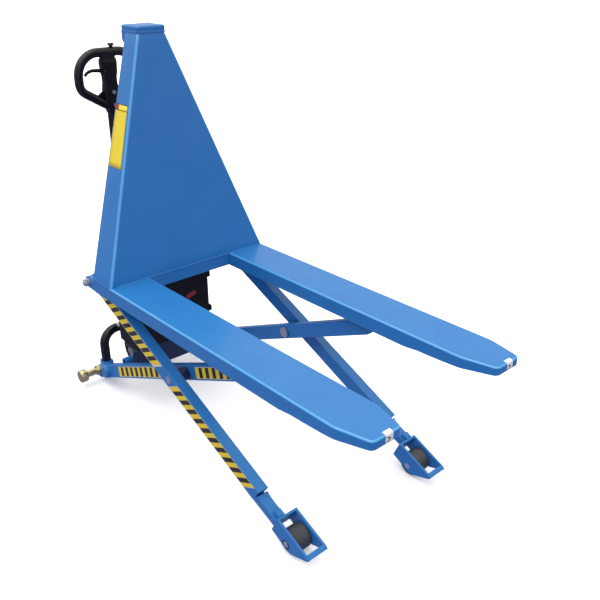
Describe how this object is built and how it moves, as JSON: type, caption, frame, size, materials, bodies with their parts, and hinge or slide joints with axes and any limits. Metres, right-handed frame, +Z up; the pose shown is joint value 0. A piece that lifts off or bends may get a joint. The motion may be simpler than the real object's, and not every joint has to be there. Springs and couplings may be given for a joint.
{
  "type": "high-lift pallet truck",
  "caption": "Electric high-lift scissor pallet truck: fork channels on crossed arms, tapered mast plate, twin steered wheels, tiller.",
  "frame": {"origin": "on the floor, at the centre of the truck's length and width", "axes": "+X forward to the fork tips, +Y to the truck's left, +Z up"},
  "size_m": [1.731, 0.72, 1.425],
  "materials": {
    "blue_paint": "gloss powder coat, chipped at edges",
    "black_paint": "satin black paint",
    "black_plastic": "fine-textured moulding",
    "tyre_rubber": "solid rubber",
    "hub_plastic": "moulded nylon",
    "roller_nylon": "hard dark grey nylon",
    "yellow_zinc": "yellow-passivated zinc",
    "bright_zinc": "bright zinc plate",
    "hard_chrome": "ground hard chrome",
    "bronze": "sintered bronze",
    "button_plastic": "gloss black"
  },
  "bodies": {
    "chassis": {"yoke_hoop": "black_paint", "side_member_left": "blue_paint", "side_member_right": "blue_paint", "base_pivot_pins": "blue_paint", "deck_plate": "black_paint", "front_guard": "blue_paint", "steering_head": "black_paint", "battery_case": "black_plastic", "case_lid": "black_plastic", "case_latches": "black_plastic", "batteries": "black_plastic", "pump_unit": "black_plastic", "cylinder_barrel": "black_paint", "cylinder_gland": "bright_zinc"},
    "ram_stage": {"cylinder_stage": "hard_chrome"},
    "ram_rod": {"cylinder_rod": "hard_chrome"},
    "steering_unit": {"steer_block": "black_paint", "steer_axle": "bright_zinc", "axle_nuts": "bright_zinc", "tiller_yoke": "black_paint", "tiller_pivot_pin": "bright_zinc"},
    "steer_wheel_left": {"steer_tyre_left": "tyre_rubber", "steer_hub_left": "hub_plastic"},
    "steer_wheel_right": {"steer_tyre_right": "tyre_rubber", "steer_hub_right": "hub_plastic"},
    "tiller": {"tiller_tube": "black_paint", "tiller_loop": "black_paint", "tiller_head": "black_plastic", "head_bolts": "bright_zinc", "lever_pin": "bright_zinc"},
    "hand_lever": {"lift_lever": "black_plastic"},
    "handle_button": {"push_button": "button_plastic"},
    "inner_frame": {"inner_arm_left": "blue_paint", "inner_arm_right": "blue_paint", "base_bushes": "bronze", "centre_bushes": "bronze", "inner_cross_tube": "blue_paint", "stabiliser_pins": "yellow_zinc", "stabiliser_nuts": "yellow_zinc", "slider_axles": "bright_zinc"},
    "slider_wheel_left": {"slider_roller_left": "roller_nylon"},
    "slider_wheel_right": {"slider_roller_right": "roller_nylon"},
    "outer_frame": {"outer_arm_left": "blue_paint", "outer_arm_right": "blue_paint", "centre_pins": "bright_zinc", "centre_spacers": "bright_zinc", "heel_bushes": "bronze", "roller_frame_left": "blue_paint", "roller_frame_right": "blue_paint", "roller_axles": "bright_zinc"},
    "load_wheel_left": {"load_roller_left": "roller_nylon"},
    "load_wheel_right": {"load_roller_right": "roller_nylon"},
    "fork_carriage": {"fork_left": "blue_paint", "fork_right": "blue_paint", "heel_frame": "blue_paint", "heel_pins": "bright_zinc", "mast_front_plate": "blue_paint", "mast_side_left": "blue_paint", "mast_side_right": "blue_paint", "mast_cap": "blue_paint"}
  },
  "joints": [
    {"name": "scissor_lift", "type": "hinge", "parent": "chassis", "child": "inner_frame", "pos_m": [-0.6665, 0, 0.0756], "axis": [0, -1, 0], "range_deg": [-23.9, 12.25]},
    {"name": "scissor_cross", "type": "hinge", "parent": "inner_frame", "child": "outer_frame", "pos_m": [-0.06095, 0, 0.339], "axis": [0, -1, 0], "range_deg": [-24.5, 48.6]},
    {"name": "heel_pivot", "type": "hinge", "parent": "outer_frame", "child": "fork_carriage", "pos_m": [-0.5236, 0, 0.5589], "axis": [0, -1, 0], "range_deg": [-24.2, 12.2]},
    {"name": "ram_stage_slide", "type": "slide", "parent": "chassis", "child": "ram_stage", "axis": [0, 0, 1], "range_m": [-0.232, 0.117]},
    {"name": "ram_rod_slide", "type": "slide", "parent": "ram_stage", "child": "ram_rod", "axis": [0, 0, 1], "range_m": [-0.232, 0.117]},
    {"name": "steering", "type": "hinge", "parent": "chassis", "child": "steering_unit", "pos_m": [-0.7425, 0, 0.085], "axis": [0, 0, 1], "range_deg": [-70, 70]},
    {"name": "steer_wheel_left_spin", "type": "hinge", "parent": "steering_unit", "child": "steer_wheel_left", "pos_m": [-0.7425, 0.0525, 0.085], "axis": [0, 1, 0], "continuous": true},
    {"name": "steer_wheel_right_spin", "type": "hinge", "parent": "steering_unit", "child": "steer_wheel_right", "pos_m": [-0.7425, -0.0525, 0.085], "axis": [0, 1, 0], "continuous": true},
    {"name": "tiller_tilt", "type": "hinge", "parent": "steering_unit", "child": "tiller", "pos_m": [-0.8395, 0, 0.306], "axis": [0, -1, 0], "range_deg": [0, 75], "stiffness_Nm_per_rad": 50, "springref_deg": -11.46},
    {"name": "lift_lever_rock", "type": "hinge", "parent": "tiller", "child": "hand_lever", "pos_m": [-0.8395, -0.022, 1.242], "axis": [1, 0, 0], "range_deg": [-12, 12], "stiffness_Nm_per_rad": 1},
    {"name": "button_press", "type": "slide", "parent": "tiller", "child": "handle_button", "axis": [0, 0, -1], "range_m": [0, 0.004], "stiffness_N_per_m": 500, "springref_m": -0.002},
    {"name": "slider_left_spin", "type": "hinge", "parent": "inner_frame", "child": "slider_wheel_left", "pos_m": [0.3985, 0.258, 0.5486], "axis": [0, 1, 0], "continuous": true},
    {"name": "slider_right_spin", "type": "hinge", "parent": "inner_frame", "child": "slider_wheel_right", "pos_m": [0.3985, -0.258, 0.5486], "axis": [0, 1, 0], "continuous": true},
    {"name": "load_roller_left_spin", "type": "hinge", "parent": "outer_frame", "child": "load_wheel_left", "pos_m": [0.5455, 0.279, 0.041], "axis": [0, 1, 0], "continuous": true},
    {"name": "load_roller_right_spin", "type": "hinge", "parent": "outer_frame", "child": "load_wheel_right", "pos_m": [0.5455, -0.279, 0.041], "axis": [0, 1, 0], "continuous": true}
  ],
  "couplings": [
    {"joint": "scissor_cross", "follows": "scissor_lift", "ratio": -1.9912},
    {"joint": "heel_pivot", "follows": "scissor_lift", "ratio": 0.9912},
    {"joint": "ram_stage_slide", "follows": "scissor_lift", "m_per_rad": 0.545},
    {"joint": "ram_rod_slide", "follows": "scissor_lift", "m_per_rad": 0.545}
  ]
}
